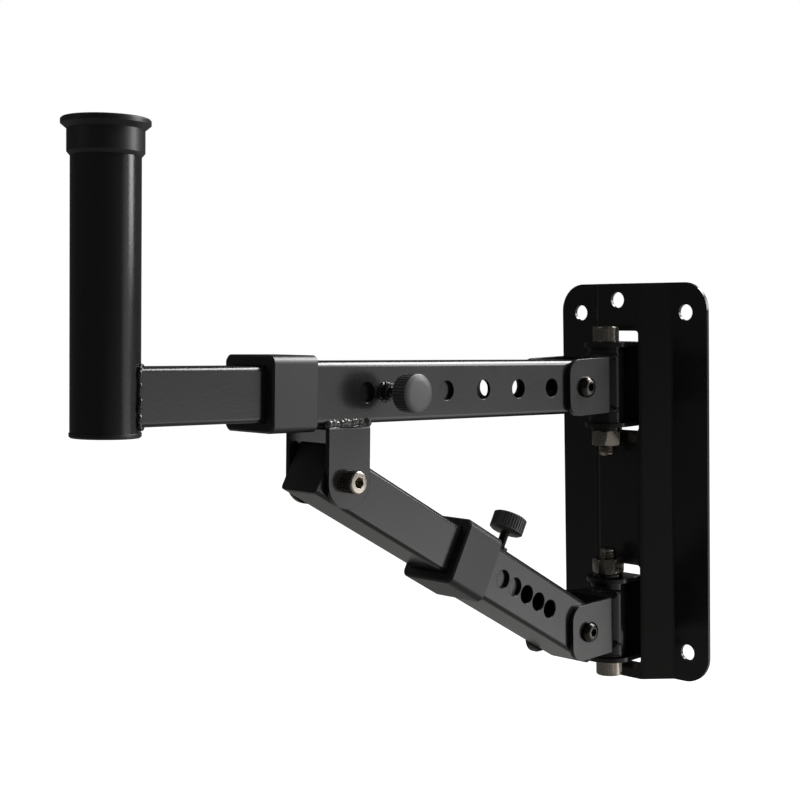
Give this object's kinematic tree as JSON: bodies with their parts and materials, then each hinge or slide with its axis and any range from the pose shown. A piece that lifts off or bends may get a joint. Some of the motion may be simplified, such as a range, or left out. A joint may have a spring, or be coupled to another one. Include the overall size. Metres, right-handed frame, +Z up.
{
  "type": "speaker wall bracket",
  "caption": "Swivelling wall bracket with a telescopic arm, a telescopic strut below it and a capped upright pole that carries a small loudspeaker.",
  "frame": {"origin": "centre of the wall plate's back face, midway between the wall holes", "axes": "+Z up, +Y into the wall, -Y out into the room, +X to the right seen from the room"},
  "size_m": [0.124, 0.4542, 0.3623],
  "materials": {
    "powder_coat": "fine satin powder coat",
    "zinc": "zinc plated",
    "black_zinc": "black zinc plated",
    "black_plastic": "moulded, satin",
    "knob_plastic": "moulded, ribbed"
  },
  "bodies": {
    "wall_frame": {"wall_plate": "powder_coat", "upper_hinge_channel": "powder_coat", "upper_hinge_bolt": "zinc", "upper_hinge_washer": "black_zinc", "upper_hinge_nut": "zinc", "lower_hinge_channel": "powder_coat", "lower_hinge_bolt": "zinc", "lower_hinge_washer": "black_zinc", "lower_hinge_nut": "zinc"},
    "upper_knuckle": {"upper_yoke": "powder_coat", "upper_sleeve": "powder_coat", "upper_top_thrust_washer": "black_zinc", "upper_bottom_thrust_washer": "black_zinc", "upper_cheek_bolt": "black_zinc", "upper_cheek_nut": "black_zinc"},
    "arm": {"outer_arm_tube": "powder_coat", "arm_collar": "black_plastic", "arm_lug": "powder_coat", "lug_bolt": "zinc", "lug_nut": "zinc", "arm_boss": "powder_coat"},
    "arm_extension": {"inner_arm_tube": "powder_coat", "arm_slide_bush": "black_plastic", "pole": "powder_coat", "pole_cap": "black_plastic", "pole_plug": "black_plastic"},
    "arm_clamp": {"arm_knob": "knob_plastic", "arm_clamp_screw": "black_zinc"},
    "lower_knuckle": {"lower_yoke": "powder_coat", "lower_sleeve": "powder_coat", "lower_top_thrust_washer": "black_zinc", "lower_bottom_thrust_washer": "black_zinc", "lower_cheek_bolt": "black_zinc", "lower_cheek_nut": "black_zinc"},
    "strut": {"outer_strut_tube": "powder_coat", "strut_collar": "black_plastic", "strut_boss": "powder_coat"},
    "strut_extension": {"inner_strut_tube": "powder_coat", "strut_slide_bush": "black_plastic", "strut_end_plug": "black_plastic"},
    "strut_clamp": {"strut_knob": "knob_plastic", "strut_clamp_screw": "black_zinc"}
  },
  "joints": [
    {"name": "upper_swivel", "type": "hinge", "parent": "wall_frame", "child": "upper_knuckle", "pos_m": [0, -0.0322, 0.0689], "axis": [0, 0, 1], "range_deg": [-60, 60]},
    {"name": "arm_tilt", "type": "hinge", "parent": "upper_knuckle", "child": "arm", "pos_m": [0, -0.0808, 0.0705], "axis": [-1, 0, 0], "range_deg": [-15, 1.5]},
    {"name": "arm_slide", "type": "slide", "parent": "arm", "child": "arm_extension", "axis": [0, -0.999, 0.0447], "range_m": [-0.07, 0.045]},
    {"name": "arm_knob_turn", "type": "hinge", "parent": "arm", "child": "arm_clamp", "pos_m": [0.0175, -0.25962, 0.07849], "axis": [1, 0, 0], "range_deg": [0, 540]},
    {"name": "lower_swivel", "type": "hinge", "parent": "wall_frame", "child": "lower_knuckle", "pos_m": [0, -0.0322, -0.0941], "axis": [0, 0, 1], "range_deg": [-61, 61]},
    {"name": "strut_tilt", "type": "hinge", "parent": "lower_knuckle", "child": "strut", "pos_m": [0, -0.0808, -0.0925], "axis": [-1, 0, 0], "range_deg": [-10.36, 1.13]},
    {"name": "strut_slide", "type": "slide", "parent": "strut", "child": "strut_extension", "axis": [0, -0.863, 0.5053], "range_m": [-0.03848, 0.00403]},
    {"name": "strut_knob_turn", "type": "hinge", "parent": "strut", "child": "strut_clamp", "pos_m": [0, -0.14703, -0.03344], "axis": [0, 0.5053, 0.863], "range_deg": [0, 540]}
  ],
  "couplings": [
    {"joint": "lower_swivel", "follows": "upper_swivel", "ratio": 1},
    {"joint": "strut_tilt", "follows": "arm_tilt", "ratio": 0.684},
    {"joint": "strut_slide", "follows": "arm_tilt", "m_per_rad": 0.1462}
  ]
}
